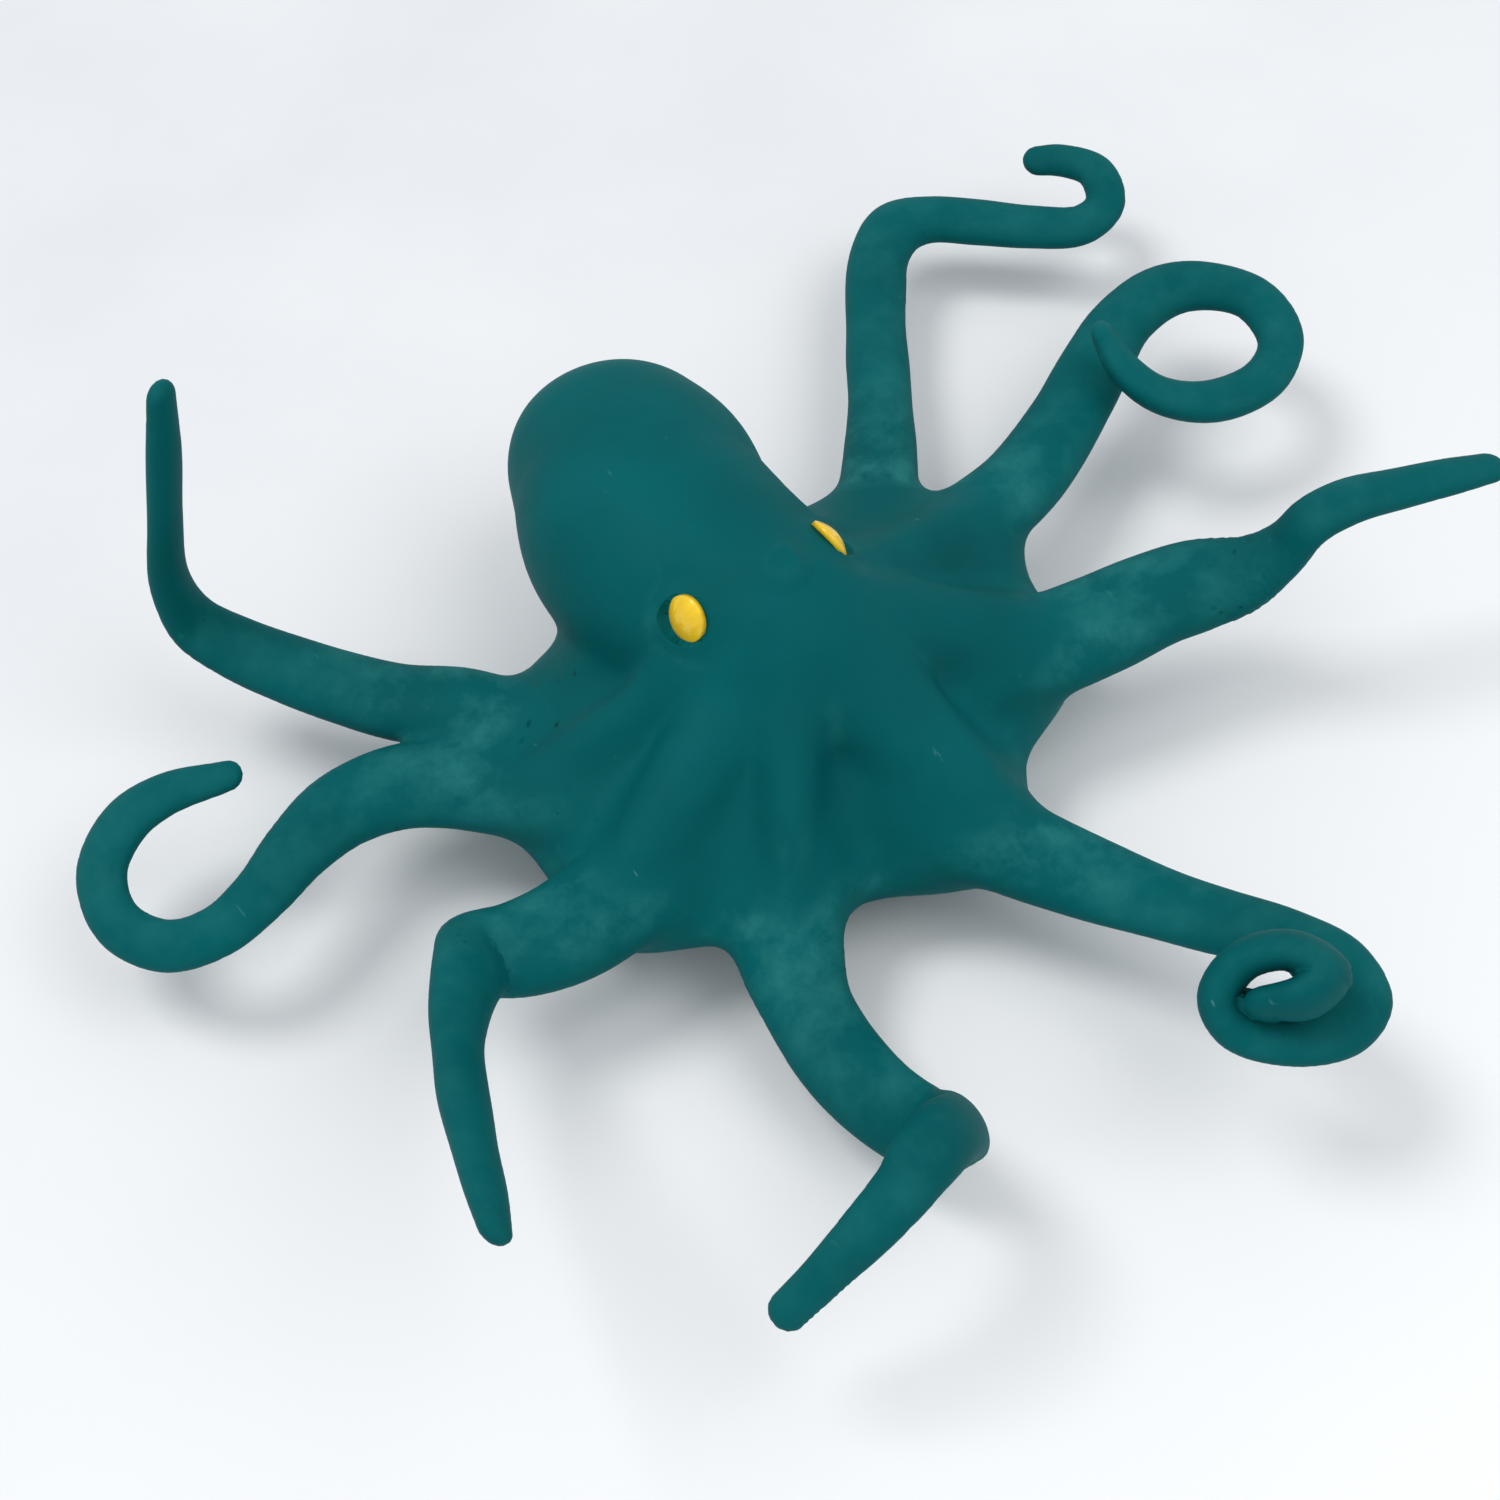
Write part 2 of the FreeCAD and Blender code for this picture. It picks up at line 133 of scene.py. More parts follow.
# Chalky bloom, partly a painted highlight on raised, upward-facing skin: how deep under the surface its
# bulge is felt, how strongly it shows there, and its shares on the web's front and out on the arms
chalk_highlight_depth = 6.0
chalk_highlight_gain = 3.0
front_chalk_highlight_share = 0.5
front_chalk_highlight_from = 12.0
front_chalk_highlight_fade = 30.0
arm_chalk_highlight_share = 0.3
arm_chalk_highlight_from = 40.0
arm_chalk_highlight_fade = 30.0
# Painted highlight: how much lighter the skin is painted the further it faces upwards
highlight_tilt_gain = 1.3
highlight_tilt_loss = 0.2

# Arm routes, outwards from the head: x, y and z as shares of arm_reach,
# then the half width as a share of arm_root_half_width
ARM_ROUTE_SHARES = {
    "right_1": [
        (-0.150, -0.185, 0.200, 0.95), (-0.190, -0.257, 0.170, 0.87), (-0.235, -0.332, 0.140, 0.80),
        (-0.257, -0.400, 0.120, 0.67), (-0.266, -0.481, 0.110, 0.66), (-0.259, -0.565, 0.110, 0.62),
        (-0.242, -0.635, 0.125, 0.61), (-0.230, -0.678, 0.195, 0.51), (-0.280, -0.703, 0.290, 0.48),
        (-0.339, -0.727, 0.330, 0.46), (-0.377, -0.741, 0.330, 0.41), (-0.439, -0.751, 0.310, 0.37),
        (-0.501, -0.751, 0.260, 0.31), (-0.546, -0.746, 0.215, 0.27),
    ],
    "right_2": [
        (-0.262, -0.122, 0.180, 0.95), (-0.330, -0.138, 0.176, 0.92), (-0.397, -0.148, 0.178, 0.88),
        (-0.466, -0.152, 0.180, 0.84), (-0.527, -0.140, 0.180, 0.78), (-0.575, -0.124, 0.190, 0.70),
        (-0.615, -0.162, 0.240, 0.60), (-0.679, -0.254, 0.310, 0.45), (-0.723, -0.346, 0.370, 0.42),
        (-0.760, -0.437, 0.430, 0.40), (-0.789, -0.520, 0.480, 0.34), (-0.812, -0.584, 0.515, 0.26),
    ],
    "right_3": [
        (-0.254, 0.004, 0.185, 0.95), (-0.307, 0.018, 0.175, 0.90), (-0.350, 0.038, 0.180, 0.85),
        (-0.403, 0.098, 0.160, 0.81), (-0.461, 0.147, 0.160, 0.75), (-0.523, 0.178, 0.170, 0.72),
        (-0.604, 0.185, 0.180, 0.64), (-0.688, 0.158, 0.190, 0.51), (-0.762, 0.125, 0.190, 0.43),
        (-0.833, 0.115, 0.180, 0.40), (-0.897, 0.149, 0.160, 0.40), (-0.932, 0.220, 0.160, 0.39),
        (-0.913, 0.294, 0.170, 0.41), (-0.857, 0.331, 0.190, 0.43), (-0.796, 0.326, 0.210, 0.37),
        (-0.716, 0.290, 0.230, 0.26),
    ],
    "right_4": [
        (-0.243, 0.094, 0.200, 0.95), (-0.286, 0.134, 0.180, 0.80), (-0.334, 0.190, 0.170, 0.67),
        (-0.386, 0.245, 0.170, 0.71), (-0.449, 0.303, 0.170, 0.68), (-0.505, 0.369, 0.180, 0.64),
        (-0.550, 0.431, 0.190, 0.60), (-0.592, 0.497, 0.200, 0.55), (-0.627, 0.549, 0.230, 0.48),
        (-0.637, 0.566, 0.310, 0.40), (-0.615, 0.572, 0.420, 0.38), (-0.588, 0.573, 0.540, 0.35),
        (-0.570, 0.578, 0.620, 0.29),
    ],
    "left_1": [
        (0.020, -0.190, 0.200, 0.95), (0.052, -0.278, 0.185, 0.92), (0.086, -0.370, 0.170, 0.84),
        (0.143, -0.473, 0.160, 0.71), (0.183, -0.564, 0.180, 0.60), (0.218, -0.652, 0.210, 0.54),
        (0.252, -0.733, 0.240, 0.49), (0.268, -0.803, 0.260, 0.46), (0.254, -0.850, 0.260, 0.47),
        (0.208, -0.865, 0.260, 0.49), (0.154, -0.841, 0.260, 0.50), (0.107, -0.789, 0.270, 0.50),
        (0.103, -0.757, 0.300, 0.48), (0.138, -0.752, 0.335, 0.476), (0.180, -0.785, 0.360, 0.466),
        (0.192, -0.833, 0.360, 0.47), (0.156, -0.836, 0.345, 0.46), (0.126, -0.812, 0.328, 0.36),
    ],
    "left_2": [
        (0.082, -0.110, 0.200, 0.98), (0.188, -0.114, 0.195, 0.96), (0.253, -0.138, 0.200, 0.94),
        (0.334, -0.164, 0.190, 0.93), (0.423, -0.188, 0.200, 0.89), (0.502, -0.203, 0.210, 0.84),
        (0.573, -0.226, 0.220, 0.82), (0.624, -0.261, 0.240, 0.67), (0.664, -0.285, 0.290, 0.51),
        (0.692, -0.295, 0.340, 0.45), (0.746, -0.310, 0.360, 0.43), (0.820, -0.334, 0.360, 0.40),
        (0.884, -0.364, 0.370, 0.37), (0.935, -0.383, 0.370, 0.31),
    ],
    "left_3": [
        (0.200, 0.020, 0.200, 0.95), (0.312, 0.064, 0.180, 0.88), (0.436, 0.088, 0.170, 0.78),
        (0.546, 0.116, 0.160, 0.71), (0.680, 0.175, 0.160, 0.65), (0.767, 0.219, 0.170, 0.64),
        (0.866, 0.265, 0.180, 0.56), (0.952, 0.272, 0.190, 0.54), (1.007, 0.240, 0.200, 0.50),
        (1.054, 0.172, 0.200, 0.45), (1.025, 0.074, 0.200, 0.40), (0.943, 0.029, 0.200, 0.43),
        (0.845, 0.042, 0.200, 0.46), (0.775, 0.088, 0.220, 0.45), (0.752, 0.150, 0.245, 0.41),
        (0.751, 0.192, 0.270, 0.33),
    ],
    "left_4": [
        (0.150, 0.085, 0.200, 0.93), (0.249, 0.120, 0.180, 0.84), (0.315, 0.188, 0.170, 0.74),
        (0.405, 0.295, 0.150, 0.62), (0.475, 0.386, 0.140, 0.58), (0.545, 0.483, 0.130, 0.56),
        (0.613, 0.575, 0.130, 0.55), (0.685, 0.656, 0.130, 0.55), (0.752, 0.689, 0.130, 0.57),
        (0.806, 0.673, 0.130, 0.51), (0.869, 0.618, 0.130, 0.51), (0.930, 0.560, 0.130, 0.48),
        (0.992, 0.506, 0.140, 0.43), (1.053, 0.513, 0.150, 0.37), (1.084, 0.579, 0.160, 0.34),
        (1.055, 0.634, 0.160, 0.33), (1.025, 0.654, 0.160, 0.30),
    ],
}
ROOT_POINT = {
    "right_1": 3, "right_2": 3, "right_3": 5, "right_4": 4,
    "left_1": 3, "left_2": 5, "left_3": 3, "left_4": 4,
}
KNEE_POINT = {
    "right_1": 7, "right_2": 6, "right_3": 8, "right_4": 8,
    "left_1": 5, "left_2": 8, "left_3": 4, "left_4": 8,
}
# Where an arm's flat width turns about the arm: route point and degrees
ARM_TWIST_DEG = {"right_1": [(4, 0), (6, 40), (7, 65), (8, 80), (9, 84)]}

# Head and mantle as a run of balls, front to back: x, y and z of their middles as shares of body_reach,
# then their radii as shares of head_radius. Their heights are drawn in by mantle_flat_share.
MANTLE_SHARES = [
    (-0.012, -0.050, 0.490, 0.62), (-0.030, 0.070, 0.500, 0.80), (-0.052, 0.170, 0.505, 0.99),
    (-0.070, 0.300, 0.490, 1.09), (-0.060, 0.440, 0.480, 1.10), (-0.016, 0.570, 0.475, 1.05),
    (0.000, 0.660, 0.470, 0.97),
]

# Edge of the web, round from the front: each arm and then the crotch after it,
# x and y as shares of web_reach
WEB_ARM_SHARES = [
    (-0.500, -0.740), (0.300, -0.880), (0.920, -0.400), (1.100, 0.200),
    (0.735, 0.520), (-0.760, 0.475), (-0.960, 0.210), (-0.980, -0.360),
]
WEB_CROTCH_SHARES = [
    (-0.280, -0.712), (0.486, -0.612), (0.962, -0.072), (0.908, 0.421),
    (-0.006, 0.600), (-0.906, 0.297), (-0.945, -0.102), (-0.650, -0.591),
]
REAR_ARM_POINTS = (4, 5)
REAR_CROTCH_POINTS = (4,)
SIDE_ARM_POINTS = (3, 6)
SIDE_CROTCH_POINTS = (2, 3, 5, 6)

# Levels of the web from the belly up: height as a share of web_height,
# then how far out the arm, crotch, rear, side arm and side crotch points stand
WEB_LEVEL_SHARES = [
    (0.000, 0.52, 0.50, 0.60, 0.52, 0.50), (0.100, 0.74, 0.72, 0.84, 0.74, 0.72),
    (0.200, 0.90, 0.88, 0.96, 0.90, 0.88), (0.280, 0.96, 0.98, 0.99, 0.96, 0.98),
    (0.350, 0.96, 1.00, 1.00, 0.96, 1.00), (0.420, 0.94, 0.94, 0.95, 0.94, 0.94),
    (0.520, 0.90, 0.76, 0.81, 0.88, 0.75), (0.640, 0.79, 0.61, 0.65, 0.71, 0.58),
    (0.775, 0.60, 0.48, 0.48, 0.49, 0.41), (0.900, 0.39, 0.34, 0.33, 0.29, 0.27),
    (1.000, 0.21, 0.20, 0.18, 0.17, 0.16), (1.060, 0.08, 0.08, 0.08, 0.08, 0.08),
    (1.090, 0.00, 0.00, 0.00, 0.00, 0.00),
]
ARM_COLUMN, CROTCH_COLUMN, REAR_COLUMN, SIDE_ARM_COLUMN, SIDE_CROTCH_COLUMN = range(5)
# Where the ridges begin to fade towards the top, over how much height, and how far they fade
ridge_fade_share = 0.62
ridge_fade_span_share = 0.22
ridge_faded_share = 0.9
RIDGE_EVEN_SHIFTS = (-2, -1, 0, 1, 2)
web_table_turns = 360
web_table_levels = 90
web_samples_per_span = 12

# Paper and lamps, in metres
paper_half_side = 3.0
# Painted light on the paper: along Y it turns whiter between these two places
paper_shade_from = 0.16
paper_shade_to = -0.20
sky_color = (0.93, 0.96, 1.0, 1)
sky_strength = 0.7
LAMPS = {
    "window": {"place": (-0.40, 0.42, 1.10), "size": 0.5, "power": 4.8},
    "ceiling": {"place": (0.36, -0.50, 1.15), "size": 0.9, "power": 3.6},
}

# Camera: its direction and distance, and where the object's middle lies in the photo
view_azimuth_deg = -36.0
view_elevation_deg = 55.0
view_distance = 320.0
view_far_end = 20000.0
photo_side_px = 1500.0
focal_px = 2240.0
aim_px = (783.0, 712.0)
aim_place = (0.0, 0.0, 12.0)
sensor_width = 36.0


def knots_of(points):
    steps = np.linalg.norm(np.diff(points, axis=0), axis=1)
    return np.concatenate([[0.0], np.cumsum(np.sqrt(steps))])


def smooth_rows(rows, knots, per_span):
    # Rows of numbers along a route, smoothly filled in between the given ones
    slopes = np.zeros_like(rows)
    spans = np.diff(knots)[:, None]
    rises = np.diff(rows, axis=0) / spans
    slopes[0] = rises[0]
    slopes[-1] = rises[-1]
    slopes[1:-1] = (rises[:-1] * spans[1:] + rises[1:] * spans[:-1]) / (spans[1:] + spans[:-1])
    filled = []
    for i in range(len(rows) - 1):
        for step in range(per_span):
            u = step / per_span
            filled.append(rows[i] * (2 * u ** 3 - 3 * u ** 2 + 1)
                          + slopes[i] * spans[i] * (u ** 3 - 2 * u ** 2 + u)
                          + rows[i + 1] * (3 * u ** 2 - 2 * u ** 3)
                          + slopes[i + 1] * spans[i] * (u ** 3 - u ** 2))
    filled.append(rows[-1])
    return np.array(filled)


def distances_between(points, middles):
    # From every point to every middle
    squares = (points ** 2).sum(1)[:, None] + (middles ** 2).sum(1)[None] - 2 * points @ middles.T
    return np.sqrt(np.maximum(squares, 0))


class Tube:
    # A tapering tube of elliptic section along a centre line, with a round end
    def __init__(self, centres, half_widths, half_heights, twist):
        self.centres = centres
        self.half_widths = half_widths
        self.half_heights = half_heights
        ahead = np.gradient(centres, axis=0)
        self.ahead = ahead / np.linalg.norm(ahead, axis=1)[:, None]
        self.sides = self.carried_sides(twist)
        self.ups = np.cross(self.sides, self.ahead)
        steps = np.linalg.norm(np.diff(centres, axis=0), axis=1)
        self.distances = np.concatenate([[0.0], np.cumsum(steps)])

    def carried_sides(self, twist):
        # The width axis starts level and is carried along the centre line, turned only by the twist
        sides = []
        side = np.cross(self.ahead[0], (0.0, 0.0, 1.0))
        for ahead, turn in zip(self.ahead, np.radians(twist)):
            side = side - ahead * side.dot(ahead)
            side = side / np.linalg.norm(side)
            sides.append(side * math.cos(turn) + np.cross(ahead, side) * math.sin(turn))
        return np.array(sides)

    def box(self, margin):
        widest = np.maximum(self.half_widths, self.half_heights)[:, None] + margin
        return (self.centres - widest).min(0), (self.centres + widest).max(0)

    def measure(self, points):
        # Distance to the surface, about right near it, and distance along the centre line
        near = (distances_between(points, self.centres) - self.half_widths[None]).argmin(1)
        last = len(self.centres) - 1
        offset = points - self.centres[near]
        along = (offset * self.ahead[near]).sum(1)
        other = np.clip(near + np.where(along > 0, 1, -1), 0, last)
        gap = np.abs(self.distances[other] - self.distances[near])
        share = np.clip(np.abs(along) / np.maximum(gap, tiny), 0, 1) * (gap > 0)
        share = share[:, None]

        def between(rows):
            rows = rows if rows.ndim == 2 else rows[:, None]
            return rows[near] * (1 - share) + rows[other] * share

        offset = points - between(self.centres)
        half_width = between(self.half_widths)[:, 0]
        half_height = between(self.half_heights)[:, 0]
        sideways = (offset * between(self.sides)).sum(1) / half_width
        upwards = (offset * between(self.ups)).sum(1) / half_height
        past_end = np.where(gap > 0, 0.0, (offset * self.ahead[near]).sum(1)) / half_width
        size = np.sqrt(sideways ** 2 + upwards ** 2 + past_end ** 2)
        thin_side = np.minimum(half_width, half_height / edge_slope_share)
        return (size - 1) * thin_side, between(self.distances)[:, 0]


def make_arm(name):
    rows = np.array(ARM_ROUTE_SHARES[name])
    points = rows[:, :3] * arm_reach
    knots = knots_of(points)
    centres = smooth_rows(points, knots, samples_per_span)
    widths = smooth_rows(rows[:, 3:], knots, samples_per_span)[:, 0] * arm_root_half_width
    marks, turns = zip(*ARM_TWIST_DEG.get(name, [(0, 0)]))
    twist = np.interp(np.arange(len(widths)) / samples_per_span, marks, turns)
    return Tube(centres, widths, widths * arm_flat_share, twist)


def make_mantle():
    rows = np.array(MANTLE_SHARES)
    points = rows[:, :3] * body_reach
    knots = knots_of(points)
    middles = smooth_rows(points, knots, samples_per_mantle_span)
    radii = smooth_rows(rows[:, 3:], knots, samples_per_mantle_span)[:, 0] * head_radius
    return middles, radii


def mantle_field(points):
    middles, radii = MANTLE
    squash = np.array([1.0, 1.0, 1.0 / mantle_flat_share])
    points = points * squash
    middles = middles * squash
    return (distances_between(points, middles) - radii[None]).min(1) * mantle_slope_share


def column_of(point, side_points, side_column, rear_points, usual_column):
    if point in side_points:
        return side_column
    return REAR_COLUMN if point in rear_points else usual_column


def web_table():
    # How far out the web's surface stands, for every turn about +Z and every height
    corners = []
    columns = []
    for i in range(len(WEB_ARM_SHARES)):
        corners.append(WEB_ARM_SHARES[i])
        columns.append(column_of(i, SIDE_ARM_POINTS, SIDE_ARM_COLUMN,
                                 REAR_ARM_POINTS, ARM_COLUMN))
        corners.append(WEB_CROTCH_SHARES[i])
        columns.append(column_of(i, SIDE_CROTCH_POINTS, SIDE_CROTCH_COLUMN,
                                 REAR_CROTCH_POINTS, CROTCH_COLUMN))
    corners = np.array(corners) * web_reach
    turns = np.unwrap(np.arctan2(corners[:, 1], corners[:, 0]))
    reaches = np.linalg.norm(corners, axis=1)
    levels = np.array(WEB_LEVEL_SHARES)
    level_heights = levels[:, 0] * web_height
    heights = np.linspace(0, level_heights[-1], web_table_levels)
    shares = smooth_rows(levels[:, 1:], level_heights, web_samples_per_span)
    fine_heights = smooth_rows(level_heights[:, None], level_heights, web_samples_per_span)[:, 0]
    bins = np.arange(web_table_turns) * 2 * math.pi / web_table_turns
    table = np.zeros((web_table_turns, web_table_levels))
    cycle = np.concatenate([turns - 2 * math.pi, turns, turns + 2 * math.pi])
    for level, height in enumerate(heights):
        out = [np.interp(height, fine_heights, shares[:, column]) for column in columns]
        radii = np.tile(reaches * np.array(out), 3)
        fade = (height / web_height - ridge_fade_share) / ridge_fade_span_share
        fade = min(max(fade, 0), 1) * ridge_faded_share
        even = sum(np.roll(radii, shift) for shift in RIDGE_EVEN_SHIFTS) / len(RIDGE_EVEN_SHIFTS)
        radii = radii * (1 - fade) + even * fade
        fine = smooth_rows(np.stack([cycle, radii], 1), cycle, web_samples_per_span)
        table[:, level] = np.interp(np.unwrap(bins + turns[0]), fine[:, 0], fine[:, 1])
    return turns[0], heights[-1], table


WEB_FIRST_TURN, WEB_TOP, WEB_TABLE = web_table()


def web_field(points):
    turn = (np.arctan2(points[:, 1], points[:, 0]) - WEB_FIRST_TURN) % (2 * math.pi)
    column = turn / (2 * math.pi) * web_table_turns
    row = np.clip(points[:, 2] / WEB_TOP, 0, 1) * (web_table_levels - 1)
    left = np.floor(column).astype(int) % web_table_turns
    right = (left + 1) % web_table_turns
    low = np.minimum(np.floor(row).astype(int), web_table_levels - 2)
    across = column - np.floor(column)
    rise = row - low
    reach = ((WEB_TABLE[left, low] * (1 - across) + WEB_TABLE[right, low] * across) * (1 - rise)
             + (WEB_TABLE[left, low + 1] * (1 - across) + WEB_TABLE[right, low + 1] * across) * rise)
    out = (np.hypot(points[:, 0], points[:, 1]) - reach) * web_slope_share
    return np.maximum(out, (points[:, 2] - WEB_TOP) * web_slope_share)


def soft_union(a, b, reach):
    h = np.clip(0.5 + 0.5 * (b - a) / reach, 0, 1)
    return b * (1 - h) + a * h - reach * h * (1 - h)


def soft_cut(a, b, reach):
    # a, less what lies inside b
    return -soft_union(-a, b, reach)


def head_field(points):
    local = (points - np.array(head_middle)) / np.array(head_half_sizes)
    return (np.linalg.norm(local, axis=1) - 1) * min(head_half_sizes)


def eye_frame(side_sign):
    middle = np.array([eye_middle_offset + side_sign * eye_spacing / 2, eye_forward, eye_height])
    look = np.array([side_sign, 0.0, math.tan(math.radians(eye_lift_deg))])
    return middle, look / np.linalg.norm(look)


ARMS = {name: make_arm(name) for name in ARM_ROUTE_SHARES}
MANTLE = make_mantle()
ARM_BOXES = {name: arm.box(near_blend + field_margin) for name, arm in ARMS.items()}


def union_reach(points):
    radius = np.hypot(points[:, 0], points[:, 1])
    share = np.clip((radius - near_blend_radius) / (far_blend_radius - near_blend_radius), 0, 1)
    return near_blend * (1 - share) + far_blend * share


def unevenness(points):
    # Slow hand-moulded waviness of the surface
    x, y, z = (points / wave_length).T
    first = np.sin(2.1 * x + 1.3 * y + 0.4) * np.cos(1.7 * y - 1.1 * z + 1.9)
    second = np.sin(3.3 * z + 1.9 * x - 0.7) * np.cos(2.9 * y + 0.8 * x + 2.2)
    return wave_height * (first + second_wave_share * second)


def body_field(points):
    # Web, mantle and head without the arms
    field = soft_union(web_field(points), mantle_field(points), mantle_blend)
    return soft_union(field, head_field(points), head_blend)


def with_eye_seat(field, points, eye):
    # A shallow dish round the eye, and in it a round seat a little wider than the lens
    middle, look = eye
    offset = points - middle
    height = offset @ look
    across = np.linalg.norm(offset - height[:, None] * look, axis=1)
    ring = ((across - eye_dish_radius) / eye_dish_width) ** 2
    dish = np.exp(-ring - (height / eye_dish_reach) ** 2)
    seat = np.maximum(across - eye_radius - eye_groove_width, -height - eye_groove_depth)
    seat = np.maximum(seat, height - eye_seat_reach)
    return soft_cut(field + eye_dish_depth * dish, seat, eye_seat_round)


def skin_field(points):
    field = body_field(points)
    reach = union_reach(points)
    for name, arm in ARMS.items():
        low, high = ARM_BOXES[name]
        inside = np.all((points > low) & (points < high), axis=1)
        if inside.any():
            near = points[inside]
            field[inside] = soft_union(arm.measure(near)[0], field[inside], reach[inside])
    field = field + unevenness(points)
    for eye in EYES:
        field = with_eye_seat(field, points, eye)
    return -soft_union(-field, points[:, 2], belly_round)


EYES = []


def settle_eyes():
    # Each eye sits where its line of sight leaves the head, and turns a little towards the skin there
    found = []
    for side_sign in (-1, 1):
        middle, look = eye_frame(side_sign)
        values = skin_field(middle + EYE_SEARCH_STEPS[:, None] * look)
        seat = middle + EYE_SEARCH_STEPS[values < 0].max() * look
        outwards = slopes_of(seat[None])[0]
        look = look * (1 - eye_turn_share) + outwards / np.linalg.norm(outwards) * eye_turn_share
        found.append((seat, look / np.linalg.norm(look)))
    return found


def in_chunks(function, points):
    starts = range(0, len(points), chunk_size)
    return np.concatenate([function(points[start:start + chunk_size]) for start in starts])


def slopes_of(points):
    # Direction in which the field rises fastest
    rows = []
    for axis in range(3):
        step = np.zeros(3)
        step[axis] = slope_step
        rows.append(in_chunks(skin_field, points + step) - in_chunks(skin_field, points - step))
    return np.stack(rows, 1) / (2 * slope_step)


EYES.extend(settle_eyes())


def settle(points, steps):
    # Draws points onto the surface
    for _ in range(steps):
        value = in_chunks(skin_field, points)
        slope = slopes_of(points)
        move = slope * (value / np.maximum((slope ** 2).sum(1), least_slope_squared))[:, None]
        length = np.linalg.norm(move, axis=1)[:, None]
        points = points - move * np.minimum(1, grid_pitch / np.maximum(length, tiny))
    return points


def grid_field():
    # The field at the corners of a grid of cubes round the whole figurine
    mantle_low = (MANTLE[0] - MANTLE[1][:, None]).min(0) - field_margin
    mantle_high = (MANTLE[0] + MANTLE[1][:, None]).max(0) + field_margin
    lows = [box[0] for box in ARM_BOXES.values()] + [mantle_low]
    highs = [box[1] for box in ARM_BOXES.values()] + [mantle_high]
    low = np.min(lows, axis=0)
    high = np.max(highs, axis=0)
    low[2] = -2 * grid_pitch
    counts = np.ceil((high - low) / grid_pitch).astype(int) + 1
    field = np.full(counts, field_outside, dtype=np.float32)

    def fill(box_low, box_high, function):
        first = np.maximum(np.floor((box_low - low) / grid_pitch).astype(int), 0)
        last = np.minimum(np.ceil((box_high - low) / grid_pitch).astype(int) + 1, counts)
        part = tuple(slice(a, b) for a, b in zip(first, last))
        axes = [low[k] + grid_pitch * np.arange(first[k], last[k]) for k in range(3)]
        corners = np.stack(np.meshgrid(*axes, indexing="ij"), -1).reshape(-1, 3)
        values = in_chunks(function, corners)
        shape = field[part].shape
        return part, corners, values.reshape(shape)

    body_low = np.minimum(mantle_low, np.array(WEB_BOX_LOW_SHARES) * web_reach)
    body_high = np.maximum(mantle_high, np.array(WEB_BOX_HIGH_SHARES) * web_reach)
    part, corners, values = fill(body_low, body_high, body_field)
    field[part] = values
    for name, arm in ARMS.items():
        part, corners, values = fill(*ARM_BOXES[name], lambda p: arm.measure(p)[0])
        reach = union_reach(corners).reshape(values.shape)
        field[part] = soft_union(values, field[part], reach)
    heights = low[2] + grid_pitch * np.arange(counts[2])
    return low, np.maximum(field, -heights[None, None, :])


def surface_net(low, field):
    # One point in each cube that the surface crosses, and one face for each crossed edge
    inside = field < 0
    cells = np.zeros(tuple(n - 1 for n in field.shape), dtype=np.int8)
    corner_steps = [(a, b, c) for a in (0, 1) for b in (0, 1) for c in (0, 1)]
    for a, b, c in corner_steps:
        cells += inside[a:a + cells.shape[0], b:b + cells.shape[1], c:c + cells.shape[2]]
    active = np.argwhere((cells > 0) & (cells < len(corner_steps)))
    total = np.zeros((len(active), 3))
    count = np.zeros(len(active))
    for start in corner_steps:
        for axis in range(3):
            if start[axis]:
                continue
            end = list(start)
            end[axis] = 1
            first = field[tuple((active + start).T)]
            second = field[tuple((active + end).T)]
            crossed = (first < 0) != (second < 0)
            share = np.where(crossed, first / np.where(crossed, first - second, 1), 0)
            place = active + np.array(start) + share[:, None] * (np.array(end) - np.array(start))
            total += place * crossed[:, None]
            count += crossed
    points = low + grid_pitch * total / count[:, None]
    index = np.full(cells.shape, -1, dtype=np.int64)
    index[tuple(active.T)] = np.arange(len(active))
    quads = []
    for axis in range(3):
        one = (axis + 1) % 3
        two = (axis + 2) % 3
        ahead = np.swapaxes(inside, 0, axis)[1:]
        behind = np.swapaxes(inside, 0, axis)[:-1]
        crossed = np.argwhere(np.swapaxes(ahead != behind, 0, axis))
        crossed = crossed[(crossed[:, one] > 0) & (crossed[:, two] > 0)]
        crossed = crossed[(crossed[:, one] < cells.shape[one]) & (crossed[:, two] < cells.shape[two])]
        ring = []
        for step_one, step_two in ((-1, -1), (0, -1), (0, 0), (-1, 0)):
            cell = crossed.copy()
            cell[:, one] += step_one
            cell[:, two] += step_two
            ring.append(index[tuple(cell.T)])
        ring = np.stack(ring, 1)
        out = inside[tuple(crossed.T)]
        ring[~out] = ring[~out][:, ::-1]
        quads.append(ring)
    return points, np.concatenate(quads)


def refined_near_eyes(points, quads):
    # Halves the faces round each eye twice, so that its seat's edge has faces of its own
    mesh = bpy.data.meshes.new("net")
    mesh.from_pydata(points.tolist(), [], quads.tolist())
    work = bmesh.new()
    work.from_mesh(mesh)
    for reach in EYE_FINE_REACHES:
        edges = set()
        for middle, _ in EYES:
            spot = Vector(middle)
            for vertex in work.verts:
                if (vertex.co - spot).length < reach:
                    edges.update(vertex.link_edges)
        bmesh.ops.subdivide_edges(work, edges=list(edges), cuts=1, use_grid_fill=True)
    bmesh.ops.triangulate(work, faces=[f for f in work.faces if len(f.verts) > 4])
    work.to_mesh(mesh)
    work.free()
    return mesh


def arm_marks(name):
    arm = ARMS[name]
    root = arm.distances[ROOT_POINT[name] * samples_per_span]
    knee = arm.distances[KNEE_POINT[name] * samples_per_span]
    return root, knee


